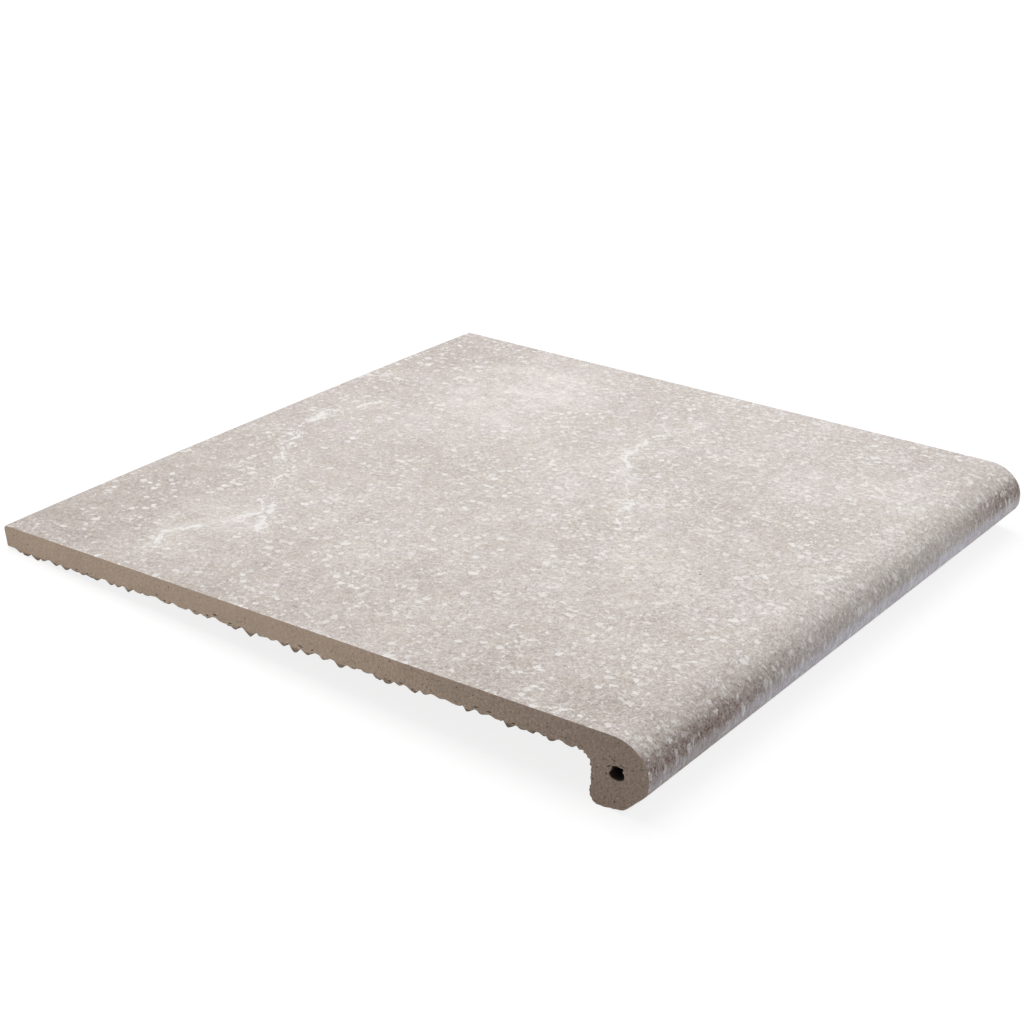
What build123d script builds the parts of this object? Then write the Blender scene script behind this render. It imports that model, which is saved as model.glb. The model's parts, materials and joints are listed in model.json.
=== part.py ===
from build123d import *
import math
import os

# Stair tread tile of fired clay with a rounded, glazed nosing.
# One section runs the whole way along the nosing (X), so the section carries every size.
# It is drawn in Y and Z: Y = 0 at the front of the nosing, Z = 0 on the tread face.
# All sizes are in millimetres and degrees.

# Overall
TREAD_WIDTH = 330.0
TREAD_DEPTH = 312.0
SLAB_THICKNESS = 10.6

# Nosing
NOSE_DROP = 28.0
NOSE_BACK = 23.5
NOSE_ROUND_DEPTH = 16.5
NOSE_ROUND_DROP = 13.5
NOSE_BEVEL_DROP = 18.4
NOSE_BEVEL_ANGLE = 45.0
NOSE_FRONT_RADIUS = 8.0
NOSE_FOOT_SLOPE = 6.0
NOSE_TOE_RADIUS = 5.0
NOSE_HEEL_RADIUS = 4.0
NOSE_THROAT_RADIUS = 6.5

# Core hole along the nosing
HOLE_FROM_FRONT = 13.2
HOLE_FROM_TOP = 11.7
HOLE_HEIGHT = 5.2
HOLE_CROWN_WIDTH = 3.7
HOLE_BASE_WIDTH = 8.0
HOLE_CORNER_RADIUS = 1.3

# Keying ribs under the slab
RIB_PITCH = 5.4
RIB_RELIEF = 1.1
RIB_UNEVENNESS = 0.35
RIB_TIP_SHARE = 0.3
RIB_ROOT_SHARE = 0.7
RIB_RADIUS = 0.35
RIB_FROM_THROAT = 1.0
RIB_FROM_REAR = 5.0
RIB_TURN = 2.4

# Rear edge
REAR_TOP_RADIUS = 1.8
REAR_LEAN = 2.0
REAR_FOOT_RADIUS = 0.8


def rounded_path(corners):
    """Edges along a row of corners (y, z, radius), each corner with its own tangent arc."""
    edges = []
    centres = []
    here = Vector(corners[0][0], corners[0][1])
    for before, corner, after in zip(corners, corners[1:], corners[2:]):
        point = Vector(corner[0], corner[1])
        inward = (Vector(before[0], before[1]) - point).normalized()
        outward = (Vector(after[0], after[1]) - point).normalized()
        half_angle = math.radians(inward.get_angle(outward)) / 2
        radius = corner[2]
        start = point + inward * (radius / math.tan(half_angle))
        end = point + outward * (radius / math.tan(half_angle))
        bisector = (inward + outward).normalized()
        centre = point + bisector * (radius / math.sin(half_angle))
        edges.append(Line(here, start))
        edges.append(ThreePointArc(start, centre - bisector * radius, end))
        centres.append(centre)
        here = end
    edges.append(Line(here, Vector(corners[-1][0], corners[-1][1])))
    return edges, centres


def rib_relief(number):
    """Height of one rib: the torn ribs are uneven from one to the next."""
    return RIB_RELIEF * (1 + RIB_UNEVENNESS * math.sin(number * RIB_TURN))


# The ribs stand down from this level; the tallest ones reach the full slab thickness.
root_level = -(SLAB_THICKNESS - RIB_RELIEF * (1 + RIB_UNEVENNESS))
rib_start = NOSE_BACK + NOSE_THROAT_RADIUS + RIB_FROM_THROAT
rib_end = TREAD_DEPTH - REAR_LEAN - RIB_FROM_REAR
rib_count = max(1, round((rib_end - rib_start) / RIB_PITCH))
rib_spacing = (rib_end - rib_start) / rib_count
rib_root_width = rib_spacing * RIB_ROOT_SHARE
rib_tip_width = rib_spacing * RIB_TIP_SHARE

# Corners of the section from the top of the nosing back, round the rear edge and forward again.
corners = [
    (NOSE_ROUND_DEPTH, 0, 0),
    (TREAD_DEPTH, 0, REAR_TOP_RADIUS),
    (TREAD_DEPTH - REAR_LEAN, root_level, REAR_FOOT_RADIUS),
]
tip_places = []
for number in reversed(range(rib_count)):
    middle = rib_start + (number + 0.5) * rib_spacing
    tip_level = root_level - rib_relief(number)
    corners.append((middle + rib_root_width / 2, root_level, RIB_RADIUS))
    tip_places.append(len(corners))
    corners.append((middle + rib_tip_width / 2, tip_level, RIB_RADIUS))
    corners.append((middle - rib_tip_width / 2, tip_level, RIB_RADIUS))
    corners.append((middle - rib_root_width / 2, root_level, RIB_RADIUS))

bevel_slope = math.tan(math.radians(NOSE_BEVEL_ANGLE))
foot_slope = math.tan(math.radians(NOSE_FOOT_SLOPE))
toe_y = (NOSE_DROP - NOSE_BEVEL_DROP) / bevel_slope
heel_place = len(corners) + 1
corners.append((NOSE_BACK, root_level, NOSE_THROAT_RADIUS))
corners.append((NOSE_BACK, -NOSE_DROP - (NOSE_BACK - toe_y) * foot_slope, NOSE_HEEL_RADIUS))
corners.append((toe_y, -NOSE_DROP, NOSE_TOE_RADIUS))
corners.append((0, -NOSE_BEVEL_DROP, NOSE_FRONT_RADIUS))
corners.append((0, -NOSE_ROUND_DROP, 0))

outline, centres = rounded_path(corners)
nose_round = EllipticalCenterArc(
    (NOSE_ROUND_DEPTH, -NOSE_ROUND_DROP), NOSE_ROUND_DEPTH, NOSE_ROUND_DROP, start_angle=90, arc_size=90
)
section = make_face(Wire([*outline, nose_round]))

hole_base = HOLE_FROM_TOP + HOLE_HEIGHT
hole_corners = [
    (HOLE_FROM_FRONT, -HOLE_FROM_TOP, 0),
    (HOLE_FROM_FRONT + HOLE_CROWN_WIDTH / 2, -HOLE_FROM_TOP, HOLE_CORNER_RADIUS),
    (HOLE_FROM_FRONT + HOLE_BASE_WIDTH / 2, -hole_base, HOLE_CORNER_RADIUS),
    (HOLE_FROM_FRONT - HOLE_BASE_WIDTH / 2, -hole_base, HOLE_CORNER_RADIUS),
    (HOLE_FROM_FRONT - HOLE_CROWN_WIDTH / 2, -HOLE_FROM_TOP, HOLE_CORNER_RADIUS),
    (HOLE_FROM_FRONT, -HOLE_FROM_TOP, 0),
]
hole_outline, hole_centres = rounded_path(hole_corners)
hole_section = make_face(Wire(hole_outline))
section = section - hole_section

# The tile lies unheld with the heel of the nosing and the lowest rib on the floor.
# The floor line is the tangent under both round corners that no other rib crosses.
heel = centres[heel_place - 1]
lying_angle = 90.0
for place in tip_places:
    reach = centres[place - 1] - heel
    tangent = math.atan2(reach.Y, reach.X) + math.asin((NOSE_HEEL_RADIUS - RIB_RADIUS) / reach.length)
    lying_angle = min(lying_angle, math.degrees(tangent))

tread = extrude(Plane.YZ.offset(-TREAD_WIDTH / 2) * section, TREAD_WIDTH, dir=(1, 0, 0))
tread = Rot(-lying_angle, 0, 0) * tread
bounds = tread.bounding_box()
tread = Pos(0, -bounds.center().Y, -bounds.min.Z) * tread

os.makedirs("parts", exist_ok=True)
export_step(tread, "parts/stair_tread.step")
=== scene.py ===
"""Stair tread tile: torn clay body, stone-look glaze, soft studio stage and camera."""

import json
import math

import bpy
import numpy as np
from mathutils import Matrix, Vector
from mathutils.geometry import delaunay_2d_cdt


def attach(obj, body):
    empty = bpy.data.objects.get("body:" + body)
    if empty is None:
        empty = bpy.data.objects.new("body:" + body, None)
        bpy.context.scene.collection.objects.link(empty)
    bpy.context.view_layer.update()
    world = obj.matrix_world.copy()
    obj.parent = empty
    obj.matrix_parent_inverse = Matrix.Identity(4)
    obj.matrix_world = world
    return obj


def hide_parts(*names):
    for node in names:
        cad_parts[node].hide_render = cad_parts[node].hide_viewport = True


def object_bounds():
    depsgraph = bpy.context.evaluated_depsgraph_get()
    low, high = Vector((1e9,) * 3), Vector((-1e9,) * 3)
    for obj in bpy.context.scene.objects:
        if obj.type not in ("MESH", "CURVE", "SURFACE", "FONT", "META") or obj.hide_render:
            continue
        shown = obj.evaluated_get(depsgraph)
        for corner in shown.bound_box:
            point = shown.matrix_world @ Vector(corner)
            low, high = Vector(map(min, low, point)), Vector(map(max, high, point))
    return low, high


bl_info = {
    "name": "Stair tread tile",
    "version": (1, 0, 0),
    "blender": (4, 5, 0),
    "location": "3D View > Sidebar > Stair tread",
    "description": "Builds a glazed stair tread tile with a rounded nosing and its studio stage",
    "category": "Add Mesh",
}

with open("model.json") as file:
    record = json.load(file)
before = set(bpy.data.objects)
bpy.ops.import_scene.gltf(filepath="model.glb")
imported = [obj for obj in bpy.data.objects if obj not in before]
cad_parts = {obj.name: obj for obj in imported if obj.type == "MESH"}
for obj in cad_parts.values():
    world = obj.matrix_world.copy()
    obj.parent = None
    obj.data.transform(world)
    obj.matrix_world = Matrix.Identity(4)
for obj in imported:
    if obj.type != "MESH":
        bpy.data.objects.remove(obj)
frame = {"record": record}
CAD_BOX = [list(corner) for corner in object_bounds()]
MM = 0.001
# Noise is regular about its own origin, so its coordinates start well off the tile.
DRIFT = (3.173, 1.731, 0.917)

# Slope of the nosing's foot, and radii of the section's corners. The front round lies between the upright
# front and the lower bevel, which leans back half a right angle.
FOOT_SLOPE = math.radians(6)
FRONT_RADIUS = 8 * MM
TOE_RADIUS = 5 * MM
HEEL_RADIUS = 4 * MM
THROAT_RADIUS = 6.5 * MM
REAR_FOOT_RADIUS = 0.8 * MM
REAR_TOP_RADIUS = 1.8 * MM

# Core hole: half its width at the crown and at the base, its height, and the radii of its corners.
HOLE_CROWN = 1.85 * MM
HOLE_BASE = 4 * MM
HOLE_HEIGHT = 5.2 * MM
HOLE_CROWN_RADIUS = 0.9 * MM
HOLE_BASE_RADIUS = 1.9 * MM

# Tearing: the slab's slow swell, the crumbs at the back of the nosing, the fine tears all over the torn
# skin, and the torn bumps of the hole's wall.
SLAB_SWELL = 0.7 * MM
CRUMB_PITCH = 1.8 * MM
CRUMB_HEIGHT = 0.8 * MM
FINE_TEARS = 0.42 * MM
HOLE_BUMPS = 0.8 * MM

# The torn skin stops this far above the floor.
FLOOR_GAP = 0.01 * MM

# Pits in a cut face: how many tears over the ribs and pores are tried, how far they stay from the rim and
# the hole, and the share of a pit's outline that its floor takes.
TEARS = 34
PORES = 26
PIT_CLEARANCE = 0.12 * MM
PIT_FLOOR = 0.55

# Hazy patches of the glaze: middle and reach (x, y) on the tread face in metres, and strength.
HAZES = [
    ((0.105, 0.236), (0.065, 0.05), 1.0),
    ((-0.048, 0.079), (0.05, 0.034), 0.8),
    ((-0.12, 0.25), (0.05, 0.03), 0.7),
    ((0.035, 0.155), (0.04, 0.026), 0.6),
]

# Veins of the glaze: corners (x, y) of each line in millimetres, and the two x between which it shows.
VEIN_SPAN = 330.0
VEINS = [
    (
        [(-165, 249), (-149, 249), (-128, 252), (-115, 246), (-103, 240), (-88, 236), (-80, 245), (-69, 249),
         (-57, 255), (-45, 258), (-40, 265), (-23, 280), (-12, 281), (-2, 288), (25, 291), (35, 285),
         (48, 279), (165, 250)],
        (-150, 50),
    ),
    ([(-165, 215), (-108, 224), (-91, 231), (-70, 242), (165, 300)], (-106, -74)),
    (
        [(-165, 110), (-7, 110), (5, 117), (20, 121), (42, 138), (57, 144), (66, 151), (92, 154), (100, 148),
         (112, 143), (125, 144), (165, 140)],
        (-6, 126),
    ),
    ([(-165, 150), (16, 128), (21, 112), (29, 103), (165, 60)], (16, 29)),
]


class TreadSizes(bpy.types.PropertyGroup):
    """Sizes of the tile's section and of its torn underside."""

    width: bpy.props.FloatProperty(
        name="Width", description="Length along the nosing",
        default=330 * MM, unit="LENGTH", precision=4,
    )
    depth: bpy.props.FloatProperty(
        name="Depth", description="From the front of the nosing to the rear edge",
        default=312 * MM, unit="LENGTH", precision=4,
    )
    root: bpy.props.FloatProperty(
        name="Slab root", description="Slab thickness between the ribs",
        default=9.27 * MM, unit="LENGTH", precision=4,
    )
    rib_pitch: bpy.props.FloatProperty(
        name="Rib pitch", description="Mean distance between torn ribs",
        default=5.2 * MM, unit="LENGTH", precision=4,
    )
    rib_height: bpy.props.FloatProperty(
        name="Rib height", description="Mean height of a torn rib",
        default=1.85 * MM, unit="LENGTH", precision=4,
    )
    nose_drop: bpy.props.FloatProperty(
        name="Nosing drop", description="Depth of the nosing's toe under the tread face",
        default=28 * MM, unit="LENGTH", precision=4,
    )
    nose_back: bpy.props.FloatProperty(
        name="Nosing back", description="Thickness of the nosing from front to back",
        default=23.5 * MM, unit="LENGTH", precision=4,
    )
    round_depth: bpy.props.FloatProperty(
        name="Round depth", description="Level run of the nosing's upper round",
        default=16.5 * MM, unit="LENGTH", precision=4,
    )
    round_drop: bpy.props.FloatProperty(
        name="Round drop", description="Fall of the nosing's upper round",
        default=13.5 * MM, unit="LENGTH", precision=4,
    )
    bevel_drop: bpy.props.FloatProperty(
        name="Bevel drop", description="Level where the lower bevel of the nosing starts",
        default=18.4 * MM, unit="LENGTH", precision=4,
    )
    rear_lean: bpy.props.FloatProperty(
        name="Rear lean", description="How far the rear face leans in at its foot",
        default=2 * MM, unit="LENGTH", precision=4,
    )
    rear_bow: bpy.props.FloatProperty(
        name="Rear bow", description="How far the rear corners stand back from the bowed rear edge",
        default=1.9 * MM, unit="LENGTH", precision=4,
    )
    edge_wear: bpy.props.FloatProperty(
        name="Edge wear", description="Rounding of the cut side edges",
        default=0.22 * MM, unit="LENGTH", precision=5,
    )
    hole_from_front: bpy.props.FloatProperty(
        name="Hole from front", description="Middle of the core hole from the front",
        default=13.2 * MM, unit="LENGTH", precision=4,
    )
    hole_from_top: bpy.props.FloatProperty(
        name="Hole from top", description="Crown of the core hole under the tread face",
        default=11.7 * MM, unit="LENGTH", precision=4,
    )
    seed: bpy.props.IntProperty(
        name="Seed", description="Start of the random tearing",
        default=7,
    )


class TreadFinish(bpy.types.PropertyGroup):
    """Colours of the glaze and of the fired body, with painted cool light and painted shade among them."""

    glaze_sand: bpy.props.FloatVectorProperty(
        name="Glaze sand", description="Sandy grey ground of the glaze",
        subtype="COLOR", size=3, default=(0.608, 0.55, 0.499),
    )
    glaze_rose: bpy.props.FloatVectorProperty(
        name="Glaze rose", description="Rosy grey ground of the glaze",
        subtype="COLOR", size=3, default=(0.63, 0.566, 0.537),
    )
    # Painted cool light: a cool grey laid on the glaze low on the nosing, in place of the cool light that
    # falls there from below.
    painted_cool_light: bpy.props.FloatVectorProperty(
        name="Glaze foot", description="Cool grey of the glaze low on the nosing",
        subtype="COLOR", size=3, default=(0.59, 0.542, 0.577),
    )
    fleck: bpy.props.FloatVectorProperty(
        name="Fleck", description="White flecks and veins",
        subtype="COLOR", size=3, default=(0.9, 0.87, 0.85),
    )
    # Dark brown of the dark grain, which also carries the painted shade down the nosing's front.
    grime_and_shade: bpy.props.FloatVectorProperty(
        name="Grime", description="Brownish grime in the dark grain and round the nosing",
        subtype="COLOR", size=3, default=(0.306, 0.236, 0.205),
    )
    body: bpy.props.FloatVectorProperty(
        name="Body", description="Bare fired clay of the slab",
        subtype="COLOR", size=3, default=(0.285, 0.215, 0.158),
    )
    # Painted shade: darker clay towards the nosing, where less light falls on the cut side.
    body_front_shade: bpy.props.FloatVectorProperty(
        name="Body core", description="Darker fired clay of the thick nosing",
        subtype="COLOR", size=3, default=(0.2, 0.148, 0.113),
    )
    # Scorched clay of the torn underside, and painted shade in the pits and tears of the cut faces.
    scorch_and_pit_shade: bpy.props.FloatVectorProperty(
        name="Torn skin", description="Scorched clay of the torn underside",
        subtype="COLOR", size=3, default=(0.19, 0.13, 0.095),
    )
    # Painted shade: near black on the core hole's wall, where little light reaches.
    hole_painted_shade: bpy.props.FloatVectorProperty(
        name="Hole soot", description="Blackened wall of the core hole",
        subtype="COLOR", size=3, default=(0.03, 0.022, 0.018),
    )


class StageSizes(bpy.types.PropertyGroup):
    """Camera and lamps of the studio."""

    azimuth: bpy.props.FloatProperty(
        name="Azimuth", description="Camera angle round the tile, in the tile's own plane",
        default=math.radians(-56.658), subtype="ANGLE",
    )
    elevation: bpy.props.FloatProperty(
        name="Elevation", description="Camera angle above the tread face",
        default=math.radians(22.722), subtype="ANGLE",
    )
    roll: bpy.props.FloatProperty(
        name="Roll", description="Camera roll against the tread face",
        default=math.radians(2.111), subtype="ANGLE",
    )
    distance: bpy.props.FloatProperty(
        name="Distance", description="Camera distance from the middle of the tread",
        default=0.9553, unit="LENGTH",
    )
    aside: bpy.props.FloatProperty(
        name="Aside", description="Camera moved to its right",
        default=-11.34 * MM, unit="LENGTH", precision=4,
    )
    above: bpy.props.FloatProperty(
        name="Above", description="Camera moved up in its own view",
        default=-7.38 * MM, unit="LENGTH", precision=4,
    )
    lens: bpy.props.FloatProperty(
        name="Lens", description="Focal length on a 36 mm sensor",
        default=77.62, subtype="DISTANCE_CAMERA",
    )
    overhead_watts: bpy.props.FloatProperty(
        name="Overhead lamp", description="Soft lamp over the tile",
        default=22.5, subtype="POWER",
    )
    side_watts: bpy.props.FloatProperty(
        name="Side lamp", description="Low strip lamp at the left, level with the tile",
        default=1.25, subtype="POWER",
    )
    front_watts: bpy.props.FloatProperty(
        name="Front lamp", description="Soft lamp before the right end of the nosing",
        default=0.3, subtype="POWER",
    )


# Section of the tile in its own plane: y from the front of the nosing, z up from the tread face


def tangent_arc(before, corner, after, radius, count):
    """Points of the arc that rounds a corner. Its centre lies on the corner's bisector, at the radius
    over the sine of half the corner's angle, and the angle runs evenly from one tangent to the other."""
    before, corner, after = (np.asarray(p, float) for p in (before, corner, after))
    inward = (before - corner) / np.linalg.norm(before - corner)
    outward = (after - corner) / np.linalg.norm(after - corner)
    half = 0.5 * math.acos(float(np.clip(inward @ outward, -1, 1)))
    bisector = (inward + outward) / np.linalg.norm(inward + outward)
    centre = corner + bisector * radius / math.sin(half)
    first = corner + inward * radius / math.tan(half) - centre
    last = corner + outward * radius / math.tan(half) - centre
    start = math.atan2(first[1], first[0])
    turn = (math.atan2(last[1], last[0]) - start + math.pi) % (2 * math.pi) - math.pi
    angle = start + turn * np.linspace(0, 1, count)
    return centre + radius * np.stack([np.cos(angle), np.sin(angle)], 1)


def run(start, end, step):
    """Points strictly between two ends of a straight run, evenly spaced about one step apart."""
    start, end = np.asarray(start, float), np.asarray(end, float)
    count = max(1, round(float(np.linalg.norm(end - start)) / step))
    t = np.arange(1, count)[:, None] / count
    return start + (end - start) * t


def section(s):
    """The closed outline of the section, counter-clockwise from the rear of the tread face: points (y, z),
    for each point how far it is torn, from 0 on glaze to 1 under the slab, and the place of each part."""
    toe = (s.nose_drop - s.bevel_drop, -s.nose_drop)
    heel = (s.nose_back, -s.nose_drop - (s.nose_back - toe[0]) * math.tan(FOOT_SLOPE))
    front_top = (0, -s.round_drop)
    bevel = (0, -s.bevel_drop)
    throat = (s.nose_back, -s.root)
    rear_foot = (s.depth - s.rear_lean, -s.root)
    rear_top = (s.depth, 0)
    crown = (s.round_depth, 0)
    rear_arc = tangent_arc(rear_foot, rear_top, crown, REAR_TOP_RADIUS, 7)
    turn = np.radians(np.linspace(90, 180, 30))
    ellipse_y = s.round_depth + s.round_depth * np.cos(turn)
    ellipse_z = -s.round_drop + s.round_drop * np.sin(turn)
    ellipse = np.stack([ellipse_y, ellipse_z], 1)
    front_arc = tangent_arc(front_top, bevel, toe, FRONT_RADIUS, 10)
    toe_arc = tangent_arc(bevel, toe, heel, TOE_RADIUS, 8)
    heel_arc = tangent_arc(toe, heel, throat, HEEL_RADIUS, 12)
    throat_arc = tangent_arc(heel, throat, rear_foot, THROAT_RADIUS, 15)
    foot_arc = tangent_arc(throat, rear_foot, rear_top, REAR_FOOT_RADIUS, 4)
    parts = [
        ("rear_round", rear_arc, 0),
        ("tread", run(rear_arc[-1], crown, 8 * MM), 0),
        ("round", ellipse, 0),
        ("front", run(ellipse[-1], front_arc[0], 1 * MM), 0),
        ("front_round", front_arc, 0),
        ("bevel", run(front_arc[-1], toe_arc[0], 1.2 * MM), 0),
        ("toe", toe_arc, 0.1),
        ("foot", run(toe_arc[-1], heel_arc[0], 1.2 * MM), 0.25),
        ("heel", heel_arc, 0.3),
        ("back", run(heel_arc[-1], throat_arc[0], 0.7 * MM), 0.35),
        ("throat", throat_arc, 0.5),
        ("slab", run(throat_arc[-1], foot_arc[0], 0.75 * MM), 1),
        ("rear_foot", foot_arc, 0.3),
        ("rear", run(foot_arc[-1], rear_arc[0], 1 * MM), 0.15),
    ]
    points = np.concatenate([part for _, part, _ in parts])
    torn = np.concatenate([np.full(len(part), share, float) for _, part, share in parts])
    place, start = {}, 0
    for name, part, _ in parts:
        place[name] = (start, start + len(part))
        start += len(part)
    return points, torn, place


def outward(points):
    """Unit normals of a counter-clockwise closed outline: its central difference turned a quarter right."""
    along = np.roll(points, -1, 0) - np.roll(points, 1, 0)
    normal = np.stack([along[:, 1], -along[:, 0]], 1)
    return normal / np.linalg.norm(normal, axis=1, keepdims=True)


def ease(t):
    """Smooth step from 0 to 1: t squared times three less two t."""
    t = np.clip(t, 0, 1)
    return t * t * (3 - 2 * t)


def wave_noise(rng, u, rows=1):
    """Smooth random rows over u, one knot a unit, from 0 to 1: eased blends of neighbouring knots."""
    low = float(np.min(u))
    knots = rng.uniform(0, 1, (rows, int(np.ptp(u)) + 3))
    cell = np.floor(u - low).astype(int)
    t = ease(u - low - cell)
    return knots[:, cell] * (1 - t) + knots[:, cell + 1] * t


def plain_noise(rng, u, v):
    """Smooth random field over u by v, one knot a unit each way, from 0 to 1: eased blends both ways."""
    cu, cv = np.floor(u - u.min()).astype(int), np.floor(v - v.min()).astype(int)
    knots = rng.uniform(0, 1, (cu.max() + 2, cv.max() + 2))
    tu, tv = ease(u - u.min() - cu)[:, None], ease(v - v.min() - cv)[None, :]
    near = knots[cu][:, cv] * (1 - tv) + knots[cu][:, cv + 1] * tv
    far = knots[cu + 1][:, cv] * (1 - tv) + knots[cu + 1][:, cv + 1] * tv
    return near * (1 - tu) + far * tu


def torn_ridges(rng, path, x, pitch, height):
    """Height of torn ridges along x over a path: the highest of a row of lopsided round lobes, each the sine
    of its distance from the foot to a power of its own, with its own place, width, lean and height and a
    crest that wanders and breaks along x. Some ridges are broken off next to the cut ends."""
    count = int(np.ptp(path) / pitch)
    number = np.arange(count)
    middle = path.min() + (number + 0.5 + rng.uniform(-0.3, 0.3, count)) * pitch
    tall = height * rng.uniform(0.7, 1.2, count)
    half = pitch * rng.uniform(0.42, 0.62, count)
    sharp = rng.uniform(0.9, 2.3, count)[:, None, None]
    lean = rng.uniform(-0.5, 0.5, count)[:, None, None]
    wander = (wave_noise(rng, x / (16 * MM), count) - 0.5) * 0.7 * pitch
    broken = wave_noise(rng, x / (4.5 * MM), count)
    crest = tall[:, None] * (0.6 + 0.6 * broken)
    from_end = np.ptp(x) / 2 - np.abs(x)
    chipped = rng.uniform(0, 1, (count, 1)) < 0.2
    crest *= np.where(chipped, 0.5 + 0.5 * ease(from_end / (1.6 * MM))[None, :], 1)
    off = (path[None, :, None] - middle[:, None, None] - wander[:, None, :]) / half[:, None, None]
    foot = np.clip(1 - np.abs(off) * (1 + lean * np.sign(off)), 0, 1)
    return np.max(crest[:, None, :] * np.sin(foot * math.pi / 2) ** sharp, axis=0)


def stations(half):
    """Places along the nosing: close together at both cut ends, where the tears are seen edge-on, and
    wider in between."""
    ends = np.array([0, 0.09, 0.3, 0.8, 1.5, 2.3]) * MM
    inner = np.linspace(half - 3.3 * MM, -half + 3.3 * MM, 112)
    return np.concatenate([half - ends, inner, (ends - half)[::-1]])[::-1]


def laid(points, slope, shift):
    """Points of the section turned down by the slope and moved on to the floor."""
    y, z = points[..., 0], points[..., 1]
    c, n = math.cos(slope), math.sin(slope)
    return np.stack([y * c + z * n + shift[0], z * c - y * n + shift[1]], -1)


def resting_place(s):
    """Slope of the tread face from its mount, and the shift that brings the plain section's front and top
    to the CAD box's front and top."""
    axis = next(m["axis"] for m in frame["record"]["mounts"] if m["name"] == "tread_face")
    slope = math.atan2(axis[1], axis[2])
    points, _, _ = section(s)
    turned = laid(points, slope, (0, 0))
    return slope, (CAD_BOX[0][1] - turned[:, 0].min(), CAD_BOX[1][2] - turned[:, 1].max())


def hole_outline(s, rng):
    """Outline of the core hole, counter-clockwise: a rounded trapezoid with a broad base, its crown and
    flanks torn in bumps about a millimetre long."""
    top, base = -s.hole_from_top, -s.hole_from_top - HOLE_HEIGHT
    ring = [
        (s.hole_from_front + HOLE_CROWN, top),
        (s.hole_from_front - HOLE_CROWN, top),
        (s.hole_from_front - HOLE_BASE, base),
        (s.hole_from_front + HOLE_BASE, base),
    ]
    radii = [HOLE_CROWN_RADIUS, HOLE_CROWN_RADIUS, HOLE_BASE_RADIUS, HOLE_BASE_RADIUS]
    arcs = []
    for i, corner in enumerate(ring):
        before, after = ring[i - 1], ring[(i + 1) % 4]
        arc = tangent_arc(before, corner, after, radii[i], 8)
        arcs.append(arc)
        following = tangent_arc(corner, after, ring[(i + 2) % 4], radii[(i + 1) % 4], 8)
        arcs.append(run(arc[-1], following[0], 0.4 * MM))
    points = np.concatenate(arcs)
    path = np.concatenate([[0], np.cumsum(np.linalg.norm(np.diff(points, axis=0), axis=1))])
    bumps = wave_noise(rng, path / (1.1 * MM))[0] - 0.5 + 0.5 * (wave_noise(rng, path / (0.5 * MM))[0] - 0.5)
    closing = ease(np.minimum(path, path[-1] - path) / (1 * MM))
    flank = 0.35 + 0.65 * ease((points[:, 1] - base) / (top - base) * 2 - 0.4)
    return points, bumps * closing * flank * HOLE_BUMPS


def sweep_faces(rows, columns, flip=False):
    """Quads of a grid closed round its rows: each row runs round the section, each column along it."""
    i, j = np.meshgrid(np.arange(rows - 1), np.arange(columns), indexing="ij")
    k = (j + 1) % columns
    quads = np.stack([i * columns + j, i * columns + k, (i + 1) * columns + k, (i + 1) * columns + j], -1)
    return (quads[..., ::-1] if flip else quads).reshape(-1, 4)


def inside(points, ring):
    """True for points inside a closed ring: a level line from the point crosses the ring an odd number
    of times."""
    y, z = points[:, 0][:, None], points[:, 1][:, None]
    a, b = ring, np.roll(ring, -1, 0)
    straddles = (a[:, 1] > z) != (b[:, 1] > z)
    rise = np.where(b[:, 1] == a[:, 1], 1e-12, b[:, 1] - a[:, 1])
    crossing = a[:, 0] + (z - a[:, 1]) / rise * (b[:, 0] - a[:, 0])
    return (straddles & (y < crossing)).sum(1) % 2 == 1


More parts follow.
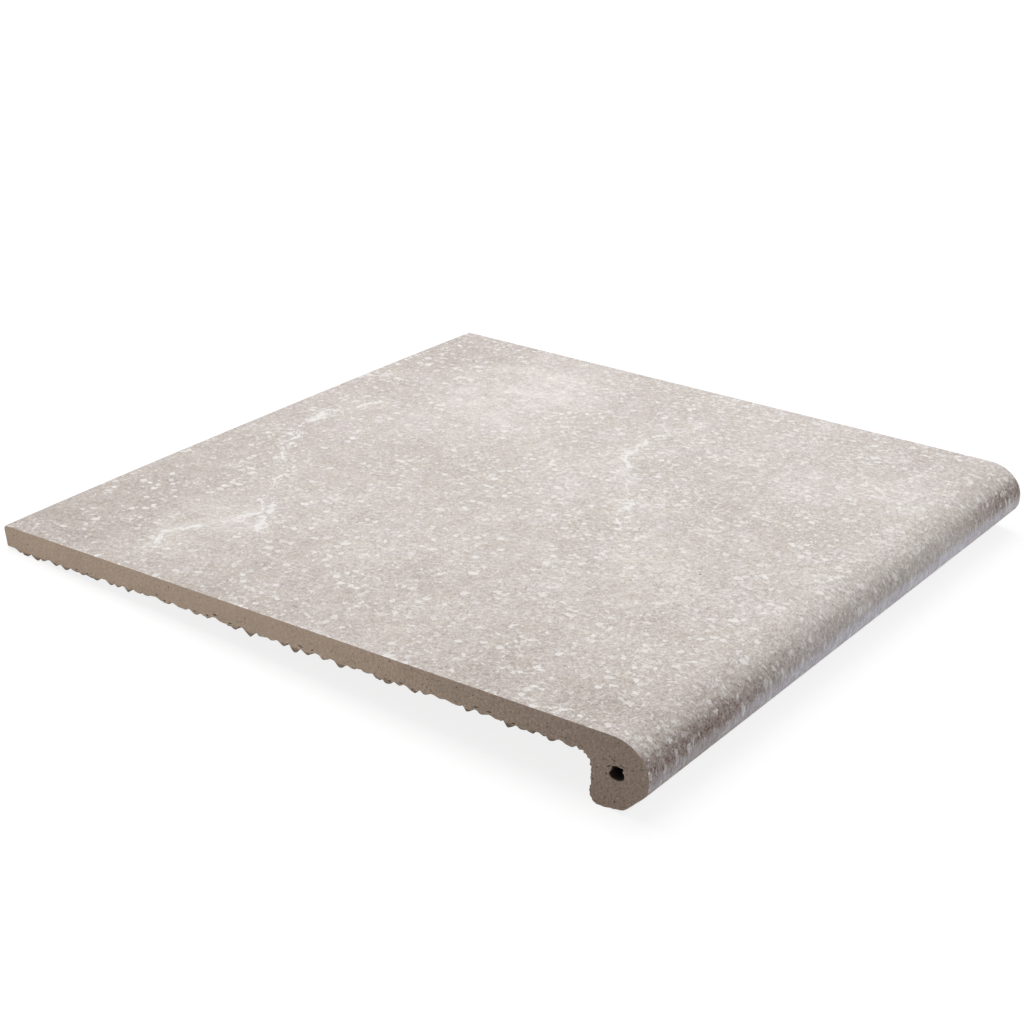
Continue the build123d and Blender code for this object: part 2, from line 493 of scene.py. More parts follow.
def pit_rings(s, rim, rng):
    """Pits and tears in the cut face: (outline, middle, depth). Each outline is an ellipse with an uneven
    edge, turned by its own angle. First come the slits round the crown of the core hole, then tears just
    above the ribs and small pores anywhere."""
    slit_y = s.hole_from_front + np.array([-3.6, -2.1, 1.5, 3.4, -6.6, 5.8]) * MM
    slit_z = -s.hole_from_top + np.array([-1.1, 0.95, 2.1, -0.75, 0.9, 1.3]) * MM
    slit_size = np.array([0.32, 0.17, 0.17, 0.27, 0.2, 0.22]) * MM
    slit_long = np.array([3.9, 8.6, 8.6, 4.0, 1.9, 1.6])
    slit_turn = np.array([0.63, 0.34, 0.28, -0.55, 0.3, 0.3])
    tear_y = rng.uniform(s.nose_back + 6 * MM, s.depth - 10 * MM, TEARS)
    under = rim[rim[:, 1] < -s.root + 1 * MM]
    level = under[np.abs(under[:, 0] - tear_y[:, None]).argmin(1), 1]
    tear_z = level + rng.uniform(0.7, 1.2, TEARS) * MM
    pore_y = rng.uniform(4 * MM, s.depth - 6 * MM, PORES)
    deepest = np.where(pore_y < s.nose_back - 2 * MM, 22 * MM, s.root - 0.6 * MM)
    pore_z = -2 * MM - (deepest - 2 * MM) * rng.uniform(0, 1, PORES)
    y = np.concatenate([slit_y, tear_y, pore_y])
    z = np.concatenate([slit_z, tear_z, pore_z])
    tear_size, pore_size = rng.uniform(0.18, 0.36, TEARS) * MM, rng.uniform(0.08, 0.17, PORES) * MM
    size = np.concatenate([slit_size, tear_size, pore_size])
    long = np.concatenate([slit_long, rng.uniform(1.6, 4.2, TEARS), rng.uniform(1, 1.8, PORES)])
    turn = np.concatenate([slit_turn, rng.uniform(-0.35, 0.35, TEARS), rng.uniform(-0.5, 0.5, PORES)])
    angle = np.linspace(0, 2 * math.pi, 10, endpoint=False)
    uneven = rng.uniform(0.75, 1.2, (len(y), 10))
    along = size[:, None] * long[:, None] * np.cos(angle) * uneven
    across = size[:, None] * np.sin(angle) * uneven
    c, n = np.cos(turn)[:, None], np.sin(turn)[:, None]
    rings = np.stack([y[:, None] + along * c - across * n, z[:, None] + along * n + across * c], -1)
    reach = size * long * 1.2 + 0.1 * MM
    centres = np.stack([y, z], 1)
    apart = np.linalg.norm(centres[:, None] - centres[None], axis=2) < reach[:, None] + reach[None]
    slits = len(slit_y)
    apart[:slits, :slits] = False
    keep = ~np.triu(apart, 1).any(0)
    return rings[keep], centres[keep], np.maximum(size[keep] * 2.6, 0.55 * MM)


def cut_face(s, rim, hole, rng):
    """Triangles of one cut end between the section's rim and the hole. Pits and low ripples sink into it;
    pits whose outline comes too near to the rim or the hole are left out. Returns the extra points, their
    depth and the triangles, numbered rim, hole, extra."""
    rings, centres, depth = pit_rings(s, rim, rng)
    steps = (np.roll(rings, -1, 1) - rings)[:, :, None] * np.linspace(0, 1, 8, endpoint=False)[:, None]
    traced = (rings[:, :, None] + steps).reshape(len(rings), -1, 2)
    clear = np.array([inside(r, rim).all() and not inside(r, hole).any() for r in traced])
    near = np.linalg.norm(traced[:, :, None] - np.concatenate([rim, hole])[None, None], axis=3).min((1, 2))
    keep = clear & (near > PIT_CLEARANCE)
    rings, centres, depth = rings[keep], centres[keep], depth[keep]
    floors = centres[:, None] + (rings - centres[:, None]) * PIT_FLOOR
    loose_y, loose_z = np.arange(1.5, s.depth / MM - 1, 2.6) * MM, -np.arange(1.4, 28, 2.2) * MM
    gy, gz = np.meshgrid(loose_y, loose_z, indexing="ij")
    loose = np.stack([gy.ravel(), gz.ravel()], 1) + rng.uniform(-0.6, 0.6, (gy.size, 2)) * MM
    loose = loose[inside(loose, rim) & ~inside(loose, hole)]
    around = np.concatenate([rim, hole, rings.reshape(-1, 2)])
    loose = loose[np.linalg.norm(loose[:, None] - around[None], axis=2).min(1) > 0.8 * MM]
    extra = np.concatenate([rings.reshape(-1, 2), floors.reshape(-1, 2), centres, loose])
    corners = rings.shape[1]
    sink = np.concatenate([
        np.zeros(len(rings) * corners),
        np.repeat(depth * 0.8, corners),
        depth,
        rng.uniform(0, 0.05, len(loose)) * MM,
    ])
    # In millimetres, which suits the tolerance
    points, tolerance = np.concatenate([rim, hole, extra]) * 1000, 1e-5
    edges = [(i, (i + 1) % len(rim)) for i in range(len(rim))]
    edges += [(len(rim) + i, len(rim) + (i + 1) % len(hole)) for i in range(len(hole))]
    first = len(rim) + len(hole)
    for r in range(2 * len(rings)):
        edges += [(first + corners * r + i, first + corners * r + (i + 1) % corners) for i in range(corners)]
    made, _, faces, _, _, _ = delaunay_2d_cdt([Vector(p) for p in points], edges, [], 0, tolerance)
    if len(made) != len(points):
        raise RuntimeError("the cut face's outline crosses itself")
    faces = np.array(faces)
    middle = points[faces].mean(1)
    keep = inside(middle, points[: len(rim)]) & ~inside(middle, points[len(rim) : first])
    faces = faces[keep]
    a, b, c = (points[faces[:, i]] for i in range(3))
    turns = (b[:, 0] - a[:, 0]) * (c[:, 1] - a[:, 1]) - (b[:, 1] - a[:, 1]) * (c[:, 0] - a[:, 0])
    faces[turns < 0] = faces[turns < 0][:, ::-1]
    return extra, sink, faces


def rows_of_points(x, grid):
    """Points (x, y, z) of a grid of (y, z) whose columns stand at x, column after column."""
    across = np.broadcast_to(x, grid.shape[:2])[..., None]
    return np.concatenate([across, grid], -1).swapaxes(0, 1).reshape(-1, 3)


def tile_surface(s):
    """The whole closed surface of the tile: the section carried along the nosing with its tears, the core
    hole's wall, and a cut face at each end. Returns the points, the quads of the section and of the hole,
    the triangles of the two cut faces, and which quads are glazed."""
    rng = np.random.default_rng(s.seed)
    plain, torn, place = section(s)
    normal = outward(plain)
    x = stations(s.width / 2)
    path = np.concatenate([[0], np.cumsum(np.linalg.norm(np.diff(plain, axis=0), axis=1))])
    heel = place["heel"][0]
    slab = slice(*place["slab"])
    back = slice(place["foot"][0], place["slab"][0])
    lift = np.zeros((len(plain), len(x)))
    lift[slab] = torn_ridges(rng, path[slab], x, s.rib_pitch, s.rib_height)
    lift[slab] += (plain_noise(rng, path[slab] / (34 * MM), x / (60 * MM)) - 0.5) * SLAB_SWELL
    crumbled = torn[back, None] / torn[back].max()
    lift[back] = torn_ridges(rng, path[back], x, CRUMB_PITCH, CRUMB_HEIGHT) * crumbled
    fine = plain_noise(rng, path / (1.1 * MM), x / (2.6 * MM)) - 0.5
    lift += fine * torn[:, None] * FINE_TEARS
    fading = 14
    lift[slab.stop - fading : slab.stop] *= np.linspace(1, 0.3, fading)[:, None]
    lift[heel] *= 0.5
    at = plain[:, None] + normal[:, None] * lift[..., None]
    at[..., 0] += (lift * torn[:, None]) * (plain_noise(rng, path / (7 * MM), x / (9 * MM)) - 0.5) * 0.9
    worn = np.interp(s.width / 2 - np.abs(x), [0, 0.09 * MM, 0.3 * MM], [1, 0.3, 0])
    wear = s.edge_wear * (1 + 0.6 * torn)
    at -= normal[:, None] * (wear[:, None] * worn[None, :])[..., None]
    bow = s.rear_bow * np.abs(2 * x / s.width) ** 2.6
    at[..., 0] -= bow[None, :] * ease((at[..., 0] - 0.6 * s.depth) / (0.4 * s.depth))
    hole, bumps = hole_outline(s, rng)
    deep = np.array([0, 0.25, 1.2, 3, 8, 20, 60, 120])
    hole_x = np.concatenate([-s.width / 2 + deep * MM, [0], (s.width / 2 - deep * MM)[::-1]])
    mouth = np.interp(s.width / 2 - np.abs(hole_x), [0, 1.2 * MM, 8 * MM], [1, 0.75, 0.2])
    wide = np.interp(s.width / 2 - np.abs(hole_x), [0, 0.25 * MM], [0.16 * MM, 0])
    hole_out = outward(hole)
    bore = hole[:, None] + hole_out[:, None] * (bumps[:, None] * mouth[None] + wide[None])[..., None]
    slope, shift = resting_place(s)
    sweep = laid(at, slope, shift)
    sweep[..., 1] = np.clip(sweep[..., 1], CAD_BOX[0][2] + FLOOR_GAP, CAD_BOX[1][2])
    sweep[..., 0] = np.clip(sweep[..., 0], CAD_BOX[0][1], CAD_BOX[1][1])
    points = [rows_of_points(x, sweep)]
    faces = [sweep_faces(len(x), len(plain))]
    glazed_columns = np.zeros(len(plain), bool)
    glazed_columns[: place["bevel"][1] + 2] = True
    glazed = [np.tile(glazed_columns, len(x) - 1)]
    count = len(points[0])
    points.append(rows_of_points(hole_x, laid(bore, slope, shift)))
    faces.append(sweep_faces(len(hole_x), len(hole), flip=True) + count)
    glazed.append(np.zeros(len(faces[1]), bool))
    hole_start = count
    count += len(points[1])
    ends = []
    for side, column, hole_column in ((-1, 0, 0), (1, len(x) - 1, len(hole_x) - 1)):
        rim, mouth_ring = at[:, column], bore[:, hole_column]
        extra, sink, cut = cut_face(s, rim, mouth_ring, rng)
        number = np.concatenate([
            column * len(plain) + np.arange(len(plain)),
            hole_start + hole_column * len(hole) + np.arange(len(hole)),
            count + np.arange(len(extra)),
        ])
        flat = laid(extra, slope, shift)
        points.append(np.column_stack([side * (s.width / 2 - sink), flat]))
        ends.append(number[cut if side > 0 else cut[:, ::-1]])
        count += len(extra)
    return np.concatenate(points), faces, ends, np.concatenate(glazed)


def mesh_object(name, points, quads, triangles, materials, slots, smooth):
    """A mesh object at the origin from arrays of points, quads and triangles, with a material slot and a
    smooth flag for each face."""
    mesh = bpy.data.meshes.new(name)
    loops = np.concatenate([quads.ravel(), triangles.ravel()]).astype(np.int32)
    starts = np.concatenate([np.arange(len(quads)) * 4, 4 * len(quads) + np.arange(len(triangles)) * 3])
    mesh.vertices.add(len(points))
    mesh.loops.add(len(loops))
    mesh.polygons.add(len(starts))
    mesh.vertices.foreach_set("co", points.astype(np.float32).ravel())
    mesh.loops.foreach_set("vertex_index", loops)
    mesh.polygons.foreach_set("loop_start", starts.astype(np.int32))
    for material in materials:
        mesh.materials.append(material)
    mesh.polygons.foreach_set("material_index", slots.astype(np.int32))
    mesh.polygons.foreach_set("use_smooth", smooth)
    mesh.update(calc_edges=True)
    if mesh.validate():
        raise RuntimeError(f"{name} has faces that can't be kept")
    piece = bpy.data.objects.new(name, mesh)
    bpy.context.scene.collection.objects.link(piece)
    return piece


# Finishes


class Wire:
    """A socket in a material's node tree. Sums and products of wires add Math nodes."""

    def __init__(self, tree, socket=None):
        self.tree = tree
        self.socket = socket

    def node(self, kind, settings=None, sockets=None, output=0):
        """Adds a node: its type, its settings, and the values or wires of its sockets."""
        made = self.tree.nodes.new("ShaderNode" + kind)
        for name, value in (settings or {}).items():
            if name == "curve":
                points = made.mapping.curves[0].points
                while len(points) < len(value):
                    points.new(0.5, 0.5)
                for point, at in zip(points, value):
                    point.location, point.handle_type = at, "VECTOR"
                made.mapping.update()
            else:
                setattr(made, name, value)
        for name, value in (sockets or {}).items():
            if isinstance(value, Wire):
                self.tree.links.new(value.socket, made.inputs[name])
            else:
                made.inputs[name].default_value = value
        return Wire(self.tree, made.outputs[output] if made.outputs else None)

    def math(self, operation, *values):
        return self.node("Math", {"operation": operation}, dict(enumerate(values)))

    def __add__(self, other):
        return self.math("ADD", self, other)

    __radd__ = __add__

    def __sub__(self, other):
        return self.math("SUBTRACT", self, other)

    def __rsub__(self, other):
        return self.math("SUBTRACT", other, self)

    def __mul__(self, other):
        return self.math("MULTIPLY", self, other)

    __rmul__ = __mul__

    def __truediv__(self, other):
        return self.math("DIVIDE", self, other)

    def above(self, low, high):
        """0 below low, 1 above high, eased between."""
        return self.node(
            "MapRange",
            {"interpolation_type": "SMOOTHSTEP", "clamp": True},
            {"Value": self, "From Min": low, "From Max": high, "To Min": 0.0, "To Max": 1.0},
        )

    def below(self, low, high):
        """1 below low, 0 above high, eased between."""
        return 1 - self.above(low, high)

    def tint(self, first, second, clamp=True):
        """A colour that runs from first to second as this wire runs from 0 to 1, and beyond both if it
        isn't clamped. A Mix node's colours are its inputs 6 and 7 and its output 2."""
        colours = {0: self, 6: first, 7: second}
        return self.node("Mix", {"data_type": "RGBA", "clamp_factor": clamp}, colours, 2)


def empty_material(name):
    """A new material with no nodes, and a wire in its node tree."""
    material = bpy.data.materials.new(name)
    material.use_nodes = True
    material.node_tree.nodes.clear()
    return material, Wire(material.node_tree)


def tile_coordinates(wire):
    """Object coordinates turned back into the tile's own plane, with z = 0 on the tread face."""
    slope, shift = resting_place(bpy.context.scene.tread_sizes)
    back = Matrix.Rotation(slope, 3, "X")
    moved = -(back @ Vector((0, *shift)))
    coordinates = wire.node("TexCoord", output="Object")
    return wire.node(
        "Mapping",
        {"vector_type": "POINT"},
        {"Vector": coordinates, "Location": moved, "Rotation": (slope, 0, 0)},
    )


def parts_of(wire, vector):
    """The three numbers of a coordinate."""
    split = wire.node("SeparateXYZ", None, {0: vector})
    return [Wire(wire.tree, split.socket.node.outputs[i]) for i in range(3)]


def adrift(wire, at):
    """Coordinates for noise, moved off the tile."""
    return wire.node("VectorMath", {"operation": "ADD"}, {0: at, 1: DRIFT})


def scaled(wire, vector, factor):
    """A colour or coordinate times a number."""
    return wire.node("VectorMath", {"operation": "SCALE"}, {0: vector, "Scale": factor})


def speckle(wire, at, size, detail=2.0, rough=0.5, dimensions="2D"):
    """Cloudy noise around 0.5, from 0 to 1, with its largest grain of one size in metres."""
    return wire.node(
        "TexNoise",
        {"noise_dimensions": dimensions},
        {"Vector": at, "Scale": 1 / size, "Detail": detail, "Roughness": rough, "Lacunarity": 2.17},
        "Fac",
    )


def shaken(wire, at, size, reach):
    """Coordinates pushed about by noise of one grain size, up to half the reach each way."""
    push = wire.node(
        "TexNoise", {"noise_dimensions": "2D"}, {"Vector": at, "Scale": 1 / size, "Detail": 2.0}, "Color"
    )
    centred = wire.node("VectorMath", {"operation": "SUBTRACT"}, {0: push, 1: (0.5, 0.5, 0.5)})
    return wire.node("VectorMath", {"operation": "ADD"}, {0: at, 1: scaled(wire, centred, reach)})


def shards(wire, at, size, level, crowd):
    """Ragged chips: the tops of fine noise above a level, which the crowd value lowers."""
    return (speckle(wire, at, size, 1.0, 0.45) + crowd).above(level, level + 0.04)


def chips(wire, at, cell, share, small, large):
    """Scattered ragged chips, one to a cell: all that lies nearer the cell's point than the cell's own
    radius, in the share of the cells whose own number is low enough, each with its own whiteness."""
    off = wire.node("TexVoronoi", {"voronoi_dimensions": "2D"}, {"Vector": at, "Scale": 1 / cell}, "Distance")
    own = parts_of(wire, Wire(wire.tree, off.socket.node.outputs["Color"]))
    radius = small + own[0] * own[0] * (large - small)
    inside_chip = (off * cell - radius).below(-0.09 * MM, 0.09 * MM)
    return inside_chip * (own[1] - share).below(0.0, 0.02) * (0.5 + own[2] * 0.5)


def haze(x, y, middle, reach):
    """A soft oval patch, 1 in its middle and 0 at its reach."""
    across, along = (x - middle[0]) / reach[0], (y - middle[1]) / reach[1]
    return (across * across + along * along).below(0.0, 1.0)


def vein(wire, at, line, ends):
    """Distance to a given line, (x, y) corners in millimetres, in metres: the height of a point over
    the line, and large beyond the ends. The point is given in the noise's coordinates."""
    x, y, _ = parts_of(wire, at)
    x, y = x - DRIFT[0], y - DRIFT[1]
    curve = [(a / VEIN_SPAN + 0.5, b / VEIN_SPAN) for a, b in line]
    level = wire.node("FloatCurve", {"curve": curve}, {"Value": x / (VEIN_SPAN * MM) + 0.5})
    off = wire.math("ABSOLUTE", y - level * (VEIN_SPAN * MM))
    fade, far_off = 3, 50 * MM
    beyond = x.below((ends[0] - fade) * MM, ends[0] * MM) + x.above(ends[1] * MM, (ends[1] + fade) * MM)
    return off + beyond * far_off


def stone_glaze():
    """Satin stone-look glaze: a mottled sandy and rosy grey ground, a painted cool light low on the nosing,
    painted shade down the nosing's front, tone drifts across the tread face that are partly painted light and
    shade, hazy patches, crowded ragged white chips and two broken veins. The print runs over the nosing and
    on under the front round, stretched about twice where the face is upright."""
    f = bpy.context.scene.tread_finish
    s = bpy.context.scene.tread_sizes
    material, w = empty_material("stone_glaze")
    at = tile_coordinates(w)
    x, y, z = parts_of(w, at)

    # The print's own coordinates, and the noises that lie on it
    under = w.math("LESS_THAN", z, FRONT_RADIUS * math.tan(math.pi / 8) - s.bevel_drop)
    upright = 0.45
    print_at = adrift(w, w.node("CombineXYZ", None, {0: x, 1: y * (1 - 2 * under) + z * upright}))
    octaves = speckle(w, print_at, 110 * MM, 7.0, 1.0)
    grain = speckle(w, print_at, 2.1 * MM, 1.0, 0.8)
    dust = speckle(w, adrift(w, at), 0.8 * MM, 1.0, 0.6, "3D")
    warmth = (speckle(w, print_at, 38 * MM, 5.0, 0.8) + x * 0.35).above(0.4, 0.6)
    crowd = speckle(w, print_at, 24 * MM, 2.0, 0.6) - 0.5 + x * 0.5 - (y - 0.15) * 0.3
    bent = shaken(w, print_at, 2.2 * MM, 1.4 * MM)
    ragged = shaken(w, bent, 11 * MM, 8 * MM)
    hazes = sum(haze(x, y, middle, reach) * strength for middle, reach, strength in HAZES)
    hazes = hazes * (0.35 + 1.3 * speckle(w, print_at, 16 * MM, 3.0, 0.7).above(0.38, 0.64))

    # Veins: a core that swells and breaks up, and crumbs of white beside it
    off = vein(w, ragged, *VEINS[0])
    for line, ends in VEINS[1:]:
        off = w.math("MINIMUM", off, vein(w, ragged, line, ends))
    swell = speckle(w, print_at, 13 * MM, 2.0, 0.6)
    core = (off - swell.above(0.36, 0.64) * 1.4 * MM).below(-0.3 * MM, 0.35 * MM)
    core = core * (0.5 + 0.8 * speckle(w, bent, 2.6 * MM, 2.0, 0.7).above(0.38, 0.56))
    beside = w.math("ABSOLUTE", off - swell * 4 * MM).below(0.1 * MM, 0.4 * MM)
    core = core + beside * speckle(w, bent, 6 * MM, 2.0, 0.6).above(0.5, 0.57) * 0.8
    margin = off.below(0.5 * MM, 8 * MM)

    # Tone of the ground: 1 as its colour is, less towards a dark brown, which is the dark grain and also
    # painted shade
    near_end, far_end = x.below(-0.12, -0.04), x.above(0.09, 0.155)
    sandy = (1.15 - (y - 0.15) - x * 0.4) * ((grain - 0.5) * 0.48 + (dust - 0.5) * 0.7)
    mottle = speckle(w, print_at, 8 * MM, 1.0, 0.7) - 0.5
    tone = 1 + (octaves - 0.5) * 0.9 + mottle * 0.14 + sandy + hazes * 0.13 + margin * 0.045
    # Drifts of tone across the tread face, lighter to the right but for the far end, darker at the rear and
    # along the near left edge: partly the glaze's uneven tone, partly painted light and shade of the lamps'
    # fall-off.
    tone = tone + x * 0.09 + x.above(0.01, 0.05) * 0.03 - far_end * 0.08 - y.above(0.235, 0.312) * 0.12
    tone = tone - x.below(-0.165, -0.06) * (0.03 + 0.05 * y.below(0.19, 0.29) + 0.04 * y.below(0.02, 0.1))

    # Painted shade down the nosing's front: darker towards both ends of the whole front, along its lowest
    # edge, and in a strip on the round, which is partly a brownish tint of the glaze
    tone = tone - (near_end * 0.22 + far_end * 0.08) * z.below(-12 * MM, -3 * MM)
    tone = tone - z.below(-18.2 * MM, -16.5 * MM) * z.above(-21.5 * MM, -19 * MM) * 0.2
    shade_and_tint_band = z.below(-7.5 * MM, -3 * MM) * z.above(-14.5 * MM, -11 * MM)
    shade_and_tint_band = shade_and_tint_band * (0.7 + speckle(w, print_at, 9 * MM, 2.0, 0.6) * 0.6)
    tone = tone - shade_and_tint_band * (0.19 + near_end * 0.13 + far_end * 0.32)
    ground = warmth.tint((*f.glaze_sand, 1), (*f.glaze_rose, 1))
    # Painted cool light: the glaze turns cool grey low on the nosing, where cool light falls from below.
    ground = z.below(-14.5 * MM, -10.5 * MM).tint(ground, (*f.painted_cool_light, 1))
    ground = ((1 - tone) * 1.94).tint(ground, (*f.grime_and_shade, 1), clamp=False)

    # White: large and small chips, shards and slivers, fewer on the front, and the veins
    crumbled = shaken(w, shaken(w, print_at, 4 * MM, 3.4 * MM), 1.4 * MM, 1.5 * MM)
    white = chips(w, crumbled, 4.4 * MM, crowd * 1.6 + margin * 0.2 + 0.55, 0.35 * MM, 1.75 * MM) * 0.85
    white = white + chips(w, crumbled, 2.3 * MM, crowd * 0.9 + margin * 0.15 + 0.3, 0.2 * MM, 0.75 * MM) * 0.6
    white = white + shards(w, bent, 2.9 * MM, 0.67, crowd * 0.4 + margin * 0.05) * 0.45
    slivers = w.math("ABSOLUTE", speckle(w, bent, 5 * MM, 1.0, 0.5) - 0.5).below(0.006, 0.028)
    white = white + slivers * speckle(w, print_at, 8 * MM, 1.0, 0.5).above(0.64, 0.7) * 0.6
    white = white * (1 - z.below(-10 * MM, -2 * MM) * 0.3) + core * (0.6 + 0.4 * grain)
    colour = w.math("MINIMUM", white, 0.92).tint(ground, (*f.fleck, 1))

    # One dark speck near the nosing
    speck = haze(x, y, (-0.029, 0.0587), (0.0007, 0.0006)).above(0.2, 0.5)
    colour = speck.tint(colour, (*f.scorch_and_pit_shade, 1))

    heights = dust * 0.8 + grain * 0.3 + white * 0.3
    bump = w.node("Bump", None, {"Strength": 0.2, "Distance": 0.1 * MM, "Height": heights}, "Normal")
    shine = 0.46 + (octaves - 0.5) * 0.4 + (dust - 0.5) * 0.15
    surface = w.node(
        "BsdfPrincipled",
        None,
        {"Base Color": colour, "Roughness": shine, "Normal": bump, "IOR": 1.5},
    )
    w.node("OutputMaterial", None, {"Surface": surface})
    return material


def fired_body():
    """Bare fired clay: sandy tan-brown on the cut sides, darker towards the nosing in painted shade, darker
    along the torn rim partly in painted shade, scorched on the torn skin underneath, painted shade in its
    tears and near black painted shade inside the core hole. A thin lip of glaze tops the cut sides."""
    f = bpy.context.scene.tread_finish
    s = bpy.context.scene.tread_sizes
    material, w = empty_material("fired_body")
    at = tile_coordinates(w)
    x, y, z = parts_of(w, at)

    # Clay of the cut sides
    loose = adrift(w, at)
    cloud = speckle(w, loose, 15 * MM, 2.0, 0.6, "3D")
    sand = speckle(w, loose, 0.9 * MM, 2.0, 0.8, "3D")
    grit = speckle(w, loose, 1.0 * MM, 0.0, 0.5, "3D")
    pores = grit.below(0.19, 0.26)
    # Painted shade: the clay darkens towards the nosing as the light along the cut side falls off.
    clay = y.below(15 * MM, 150 * MM).tint((*f.body, 1), (*f.body_front_shade, 1))
    coarse = y.below(30 * MM, 180 * MM) * 0.8 + 1
    grains = (sand - 0.5) * 0.95 - pores * 0.45 + grit.above(0.7, 0.8) * 0.2
    shade = 1 + (cloud - 0.5) * 0.25 + coarse * grains
    # Darker along the lowest edge of the cut side: partly scorched clay, partly painted shade under the torn
    # ribs.
    rim = z.below(-10.1 * MM, -9.3 * MM) * y.above(30 * MM, 36 * MM)
    shade = shade * (1 - rim * (0.25 + cloud * 0.5))

    # Torn skin: all that lies deeper than the cut sides, but for the rear face; its dark colour is scorched
    # clay on the torn underside and painted shade in the pits and tears of the cut faces
    deep = s.width / 2 - w.math("ABSOLUTE", x)
    torn = deep.above(0.04 * MM, 0.3 * MM) * y.below(308.5 * MM, 310 * MM)
    skin = scaled(w, tuple(f.scorch_and_pit_shade), 0.4 + cloud * 1.2)
    clay = torn.tint(scaled(w, clay, shade), skin)

    # The lip of glaze at the top, and painted shade, nearly black, inside the hole
    lip = (z + (speckle(w, loose, 2.2 * MM, 2.0, 0.5, "3D") - 0.5) * 0.5 * MM).above(-0.3 * MM, -0.18 * MM)
    colour = lip.tint(clay, scaled(w, tuple(f.glaze_sand), 0.7))
    hole_middle = (s.hole_from_front, -s.hole_from_top - HOLE_HEIGHT / 2)
    in_hole = haze(y, z, hole_middle, (5.6 * MM, 5.6 * MM)).above(0.0, 0.02)
    colour = (in_hole * deep.above(0.1 * MM, 0.8 * MM)).tint(colour, (*f.hole_painted_shade, 1))

    crumbs = speckle(w, loose, 1.8 * MM, 3.0, 0.7, "3D")
    heights = sand * 0.5 + grit * 0.3 - pores + torn * crumbs * 3
    bump = w.node("Bump", None, {"Strength": 0.45, "Distance": 0.18 * MM, "Height": heights}, "Normal")
    surface = w.node(
        "BsdfPrincipled",
        None,
        {"Base Color": colour, "Roughness": 0.86 + (sand - 0.5) * 0.1, "Normal": bump, "IOR": 1.45},
    )
    w.node("OutputMaterial", None, {"Surface": surface})
    return material


class TREAD_OT_tile(bpy.types.Operator):
    """Build the stair tread tile with its torn ribs, core hole, glaze and bare body"""

    bl_idname = "tread.tile"
    bl_label = "Stair tread tile"

    def execute(self, context):
        s = context.scene.tread_sizes
        points, quads, ends, glazed = tile_surface(s)
        quads, triangles = np.concatenate(quads), np.concatenate(ends)
        slots = np.concatenate([np.where(glazed, 0, 1), np.ones(len(triangles), int)])
        smooth = np.concatenate([np.ones(len(quads), bool), np.zeros(len(triangles), bool)])
        materials = [stone_glaze(), fired_body()]
        piece = mesh_object("tread_tile", points, quads, triangles, materials, slots, smooth)
        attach(piece, "root")
        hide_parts("stair_tread")
        return {"FINISHED"}


# Stage


def lamp(name, place, aim, width, height, watts, colour=(1, 1, 1)):
    """A rectangular soft lamp at a place, turned to an aim."""
    data = bpy.data.lights.new(name, "AREA")
    data.shape, data.size, data.size_y, data.energy, data.color = "RECTANGLE", width, height, watts, colour
    made = bpy.data.objects.new(name, data)
    made.location = place
    made.rotation_euler = (Vector(aim) - Vector(place)).to_track_quat("-Z", "Y").to_euler()
    bpy.context.scene.collection.objects.link(made)


def backdrop_seen(wire):
    """1 where the camera sees the surroundings, straight, in a reflection or through glass."""
    rays = [wire.node("LightPath", output=f"Is {kind} Ray") for kind in ("Camera", "Glossy", "Transmission")]
    return wire.math("MAXIMUM", wire.math("MAXIMUM", rays[0], rays[1]), rays[2])


def studio_floor():
    """A wide pale floor. For the camera part of its light is its own, more so far from the tile, so that it
    stays white and the tile's shadow stays soft; to the tile it is a plain pale surface."""
    half = 4.0
    mesh = bpy.data.meshes.new("floor")
    corners = [(-half, -half, 0), (half, -half, 0), (half, half, 0), (-half, half, 0)]
    mesh.from_pydata(corners, [], [(0, 1, 2, 3)])
    floor = bpy.data.objects.new("floor", mesh)
    bpy.context.scene.collection.objects.link(floor)
    material, w = empty_material("studio_floor")
    seen_white = backdrop_seen(w)
    plain = w.node("BsdfDiffuse", None, {"Color": (0.78, 0.81, 0.87, 1)})
    seen = w.node("BsdfDiffuse", None, {"Color": (0.22, 0.22, 0.22, 1)})
    place = w.node("TexCoord", output="Object")
    distance = w.node("VectorMath", {"operation": "LENGTH"}, {0: place}, "Value")
    whiter = distance.above(0.5, 1.6).tint((0.84, 0.84, 0.84, 1), (1, 1, 1, 1))
    glow = w.node("Emission", None, {"Color": whiter, "Strength": 1.0})
    shown = w.node("AddShader", None, {0: seen, 1: glow})
    surface = w.node("MixShader", None, {0: seen_white, 1: plain, 2: shown})
    w.node("OutputMaterial", None, {"Surface": surface})
    mesh.materials.append(material)


def studio_world():
    """Dim even surroundings; white where the camera looks past the floor."""
    world = bpy.data.worlds.new("studio")
    bpy.context.scene.world = world
    world.use_nodes = True
    world.node_tree.nodes.clear()
    w = Wire(world.node_tree)
    seen_white = backdrop_seen(w)
    dim = w.node("Background", None, {"Color": (1, 1, 1, 1), "Strength": 0.25})
    white = w.node("Background", None, {"Color": (1, 1, 1, 1), "Strength": 1.0})
    surface = w.node("MixShader", None, {0: seen_white, 1: dim, 2: white})
    w.node("OutputWorld", None, {"Surface": surface})


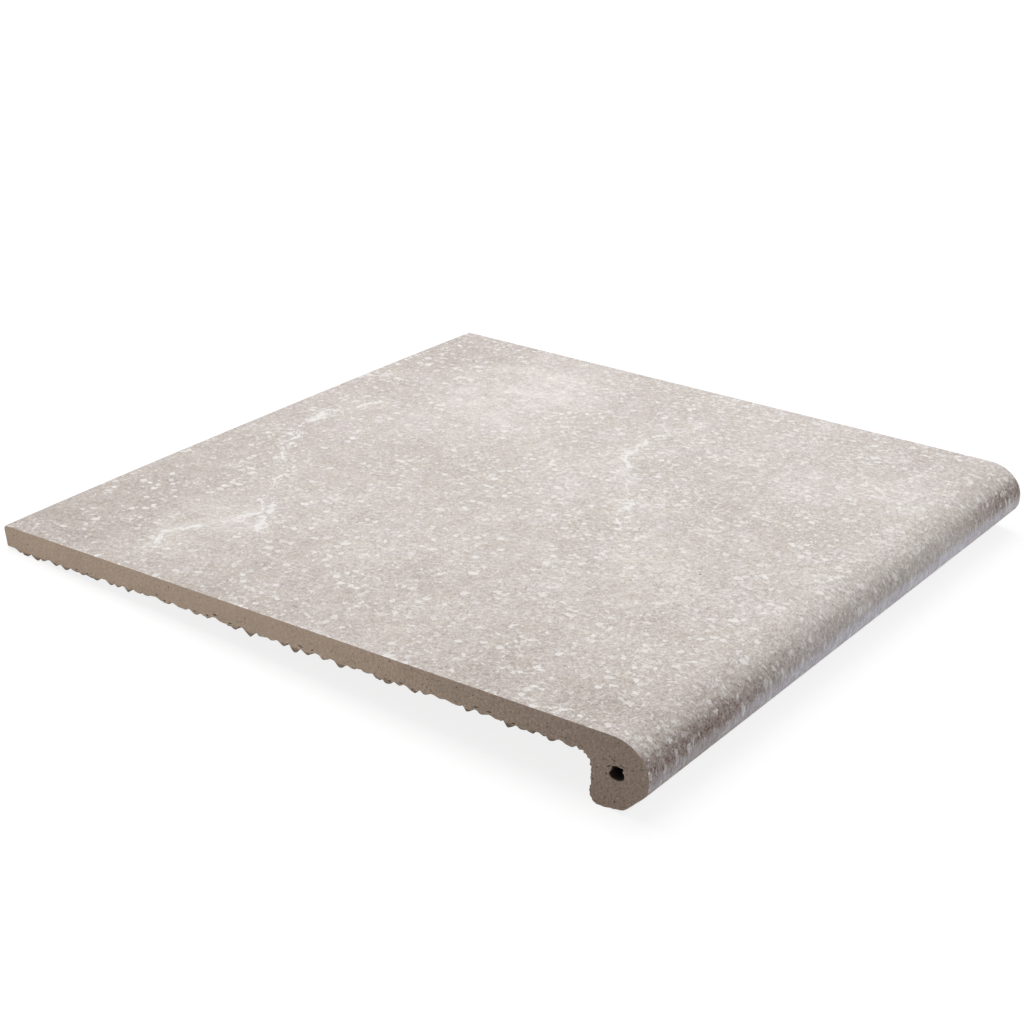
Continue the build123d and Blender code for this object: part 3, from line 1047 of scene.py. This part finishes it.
def studio_camera(stage, sizes):
    """The camera looks at the middle of the tread from its azimuth and elevation in the tile's plane,
    is rolled and slid in its own view, and is then laid down with the tile."""
    a, e, r = stage.azimuth, stage.elevation, stage.roll
    back = Vector((math.sin(a) * math.cos(e), -math.cos(a) * math.cos(e), math.sin(e)))
    right = Vector((math.cos(a), math.sin(a), 0))
    up = back.cross(right)
    right, up = right * math.cos(r) + up * math.sin(r), up * math.cos(r) - right * math.sin(r)
    # The point that the view turns about, just before the middle of the tread
    middle = Vector((0, sizes.depth / 2 - 0.3 * MM, 0))
    place = middle + back * stage.distance + right * stage.aside + up * stage.above
    slope, shift = resting_place(sizes)
    down = Matrix.Translation((0, *shift)) @ Matrix.Rotation(-slope, 4, "X")
    turn = Matrix((right, up, back)).transposed().to_4x4()
    data = bpy.data.cameras.new("camera")
    data.lens, data.sensor_width, data.sensor_fit = stage.lens, 36, "HORIZONTAL"
    camera = bpy.data.objects.new("camera", data)
    bpy.context.scene.collection.objects.link(camera)
    camera.matrix_world = down @ Matrix.Translation(place) @ turn
    bpy.context.scene.camera = camera


class TREAD_OT_stage(bpy.types.Operator):
    """Set up the floor, the soft lamps, the surroundings and the camera"""

    bl_idname = "tread.stage"
    bl_label = "Studio stage"

    def execute(self, context):
        stage = context.scene.tread_stage
        studio_floor()
        studio_world()
        cool = (0.94, 0.97, 1)
        lamp("overhead_lamp", (0.25, 0.4, 1.5), (0, 0, 0), 1.6, 1.6, stage.overhead_watts)
        lamp("side_lamp", (-0.6, 0.12, 0.009), (-0.165, 0.12, 0.009), 0.4, 0.014, stage.side_watts)
        lamp("front_lamp", (0.55, -0.75, 0.14), (0.05, -0.15, 0.02), 0.5, 0.2, stage.front_watts, cool)
        studio_camera(stage, context.scene.tread_sizes)
        context.scene.view_settings.view_transform = "Standard"
        return {"FINISHED"}


class TREAD_PT_panel(bpy.types.Panel):
    """Sizes, colours and builders of the stair tread tile"""

    bl_idname = "TREAD_PT_panel"
    bl_label = "Stair tread"
    bl_space_type = "VIEW_3D"
    bl_region_type = "UI"
    bl_category = "Stair tread"

    def draw(self, context):
        for group in (context.scene.tread_sizes, context.scene.tread_finish, context.scene.tread_stage):
            box = self.layout.box()
            for name in group.__annotations__:
                box.prop(group, name)
        self.layout.operator("tread.tile")
        self.layout.operator("tread.stage")


CLASSES = (TreadSizes, TreadFinish, StageSizes, TREAD_OT_tile, TREAD_OT_stage, TREAD_PT_panel)


def register():
    for cls in CLASSES:
        bpy.utils.register_class(cls)
    bpy.types.Scene.tread_sizes = bpy.props.PointerProperty(type=TreadSizes)
    bpy.types.Scene.tread_finish = bpy.props.PointerProperty(type=TreadFinish)
    bpy.types.Scene.tread_stage = bpy.props.PointerProperty(type=StageSizes)


def unregister():
    del bpy.types.Scene.tread_stage
    del bpy.types.Scene.tread_finish
    del bpy.types.Scene.tread_sizes
    for cls in reversed(CLASSES):
        bpy.utils.unregister_class(cls)


def main():
    register()
    bpy.ops.tread.tile()
    bpy.ops.tread.stage()


if __name__ == "__main__":
    main()
